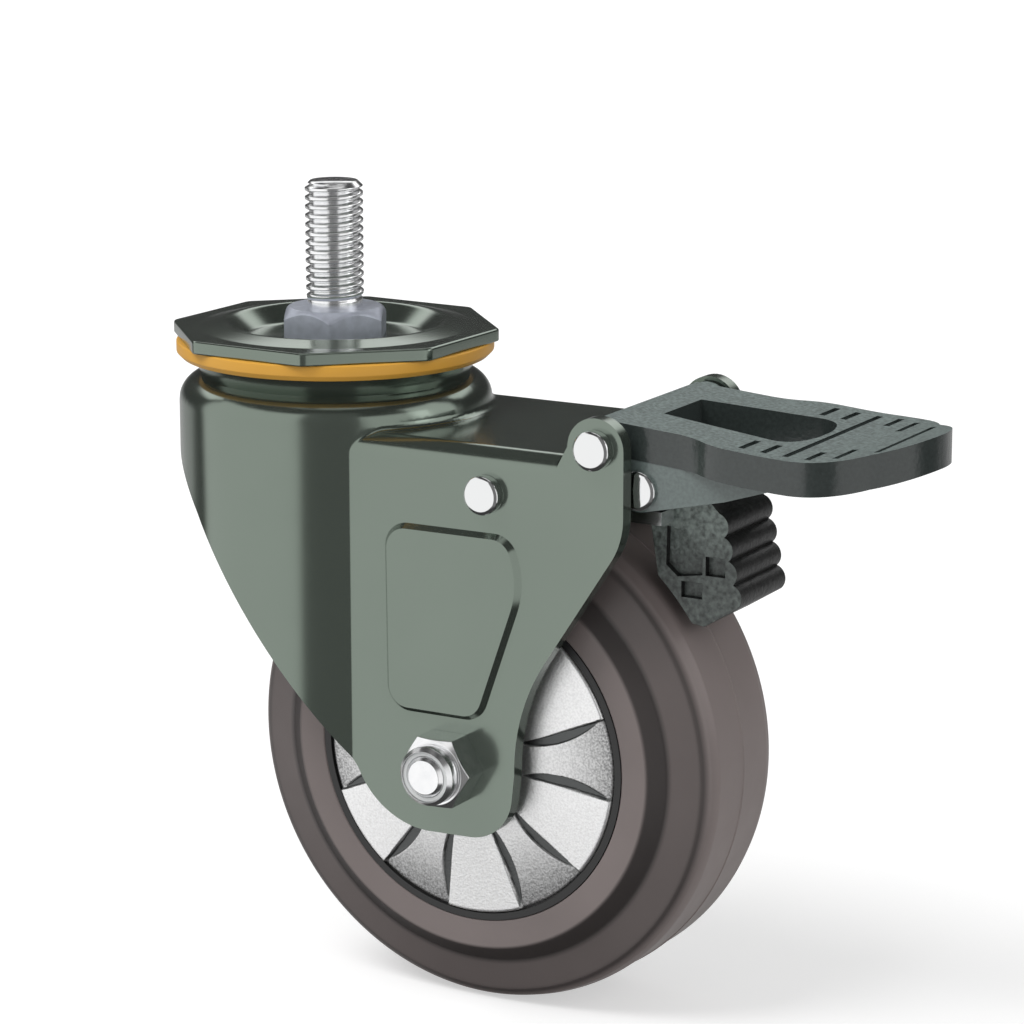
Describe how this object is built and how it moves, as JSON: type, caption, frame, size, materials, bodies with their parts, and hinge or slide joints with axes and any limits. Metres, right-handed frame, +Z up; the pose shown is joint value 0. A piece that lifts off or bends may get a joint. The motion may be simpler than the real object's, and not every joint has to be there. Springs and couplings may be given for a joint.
{
  "type": "swivel castor",
  "caption": "Threaded-stem swivel castor with a pressed steel fork, ball-bearing wheel and a foot pedal that brakes the wheel and locks the swivel.",
  "frame": {"origin": "on the swivel axis, at the seat where the threaded stem leaves its hexagon", "axes": "+Z up along the stem, +X back from the swivel axis to the wheel and pedal, Y along the axle"},
  "size_m": [0.1615, 0.0666, 0.1555],
  "materials": {
    "zinc_steel": "zinc plated, dull",
    "pressed_sheet": "thin dark grey-green coat, glossy",
    "pin_steel": "riveted over, satin",
    "race_steel": "hardened, ground",
    "ball_steel": "polished",
    "spring_steel": "oil tempered",
    "orange_plastic": "moulded, satin",
    "black_plastic": "moulded, satin",
    "pedal_plastic": "moulded, satin, dark grey green",
    "nylon": "moulded",
    "shoe_rubber": "moulded, matt",
    "tyre_rubber": "moulded, matt, brown grey",
    "silver_cover": "moulded, metallic silver",
    "seal_rubber": "moulded"
  },
  "bodies": {
    "head": {"stem_bolt": "zinc_steel", "top_plate": "pressed_sheet", "dust_ring": "orange_plastic", "upper_balls": "ball_steel", "kingpin_sleeve": "race_steel", "lower_balls": "ball_steel", "lower_race": "race_steel", "lock_ring": "race_steel", "kingpin_nut": "zinc_steel"},
    "fork_body": {"fork": "pressed_sheet", "lever_pin": "pin_steel", "pedal_pin": "pin_steel", "axle_bolt": "zinc_steel", "axle_nut": "zinc_steel", "nut_insert": "nylon", "axle_sleeve": "race_steel", "axle_spacer_near": "race_steel", "axle_spacer_far": "race_steel", "bearing_inner_near": "race_steel", "bearing_inner_far": "race_steel"},
    "wheel": {"wheel_core": "black_plastic", "tyre": "tyre_rubber", "hub_cover_near": "silver_cover", "hub_cover_far": "silver_cover", "bearing_outer_near": "race_steel", "bearing_outer_far": "race_steel", "bearing_balls_near": "ball_steel", "bearing_balls_far": "ball_steel", "bearing_shield_near": "seal_rubber", "bearing_shield_far": "seal_rubber"},
    "brake_pedal": {"pedal": "pedal_plastic", "shoe_pin": "pin_steel", "shoe_spring": "spring_steel"},
    "shoe": {"brake_shoe": "shoe_rubber"},
    "lever": {"lock_lever": "zinc_steel"}
  },
  "joints": [
    {"name": "swivel", "type": "hinge", "parent": "head", "child": "fork_body", "pos_m": [0, 0, 0], "axis": [0, 0, 1], "continuous": true},
    {"name": "wheel_spin", "type": "hinge", "parent": "fork_body", "child": "wheel", "pos_m": [0.04, 0, -0.081], "axis": [0, 1, 0], "continuous": true},
    {"name": "pedal_press", "type": "hinge", "parent": "fork_body", "child": "brake_pedal", "pos_m": [0.071, 0, -0.0168], "axis": [0, 1, 0], "range_deg": [0, 14]},
    {"name": "shoe_tilt", "type": "hinge", "parent": "brake_pedal", "child": "shoe", "pos_m": [0.0774, 0, -0.0246], "axis": [0, 1, 0], "range_deg": [-15, 0]},
    {"name": "lever_tilt", "type": "hinge", "parent": "fork_body", "child": "lever", "pos_m": [0.048, 0, -0.0276], "axis": [0, 1, 0], "range_deg": [0, 3.3]}
  ],
  "couplings": [
    {"joint": "shoe_tilt", "follows": "pedal_press", "ratio": -1.06},
    {"joint": "lever_tilt", "follows": "pedal_press", "ratio": 0.2286}
  ]
}
